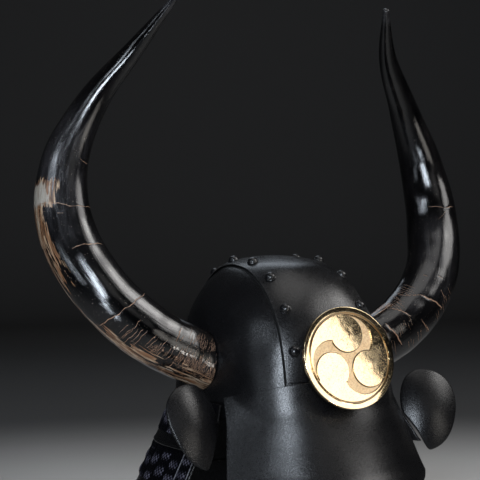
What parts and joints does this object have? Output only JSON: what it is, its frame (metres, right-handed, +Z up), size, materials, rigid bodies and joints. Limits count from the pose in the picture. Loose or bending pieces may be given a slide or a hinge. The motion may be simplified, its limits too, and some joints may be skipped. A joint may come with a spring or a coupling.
{
  "type": "samurai helmet with side horns",
  "caption": "Black riveted samurai helmet with a visor, a laced neck guard, turned-back ear plates, tall curved side horns and a gilt comma disc crest.",
  "frame": {"origin": "the top of the bowl on the faces of its side plates, where the helmet sits on a head", "axes": "the wearer looks along -Y, the wearer's left is +X, +Z is up"},
  "size_m": [0.5382, 0.3723, 0.5915],
  "materials": {
    "lacquer": "satin black lacquer with a fine grain",
    "rivet_black": "glossy black",
    "braid": "flat braided cord, blue-black",
    "horn": "polished dark horn with tan cracks near the base",
    "gilt": "polished gilt with a matte ground in the relief",
    "steel": "plain, hidden"
  },
  "bodies": {
    "root": {"crown_plate": "lacquer", "side_plate_right": "lacquer", "side_plate_left": "lacquer", "rivet_right_1": "rivet_black", "rivet_right_2": "rivet_black", "rivet_right_3": "rivet_black", "rivet_right_4": "rivet_black", "rivet_right_5": "rivet_black", "rivet_right_6": "rivet_black", "rivet_right_7": "rivet_black", "rivet_right_8": "rivet_black", "rivet_left_1": "rivet_black", "rivet_left_2": "rivet_black", "rivet_left_3": "rivet_black", "rivet_left_4": "rivet_black", "rivet_left_5": "rivet_black", "rivet_left_6": "rivet_black", "rivet_left_7": "rivet_black", "rivet_left_8": "rivet_black", "brow_plate": "lacquer", "waist_band": "lacquer", "neck_lame_1": "lacquer", "neck_lame_2": "lacquer", "neck_lame_3": "lacquer", "lace_row_1": "braid", "lace_row_2": "braid", "lace_row_3": "braid", "ear_plate_right": "lacquer", "ear_plate_left": "lacquer", "horn_right": "horn", "horn_left": "horn", "horn_pin_right": "steel", "horn_pin_left": "steel", "crest_disc": "gilt", "crest_post": "steel"}
  },
  "joints": []
}
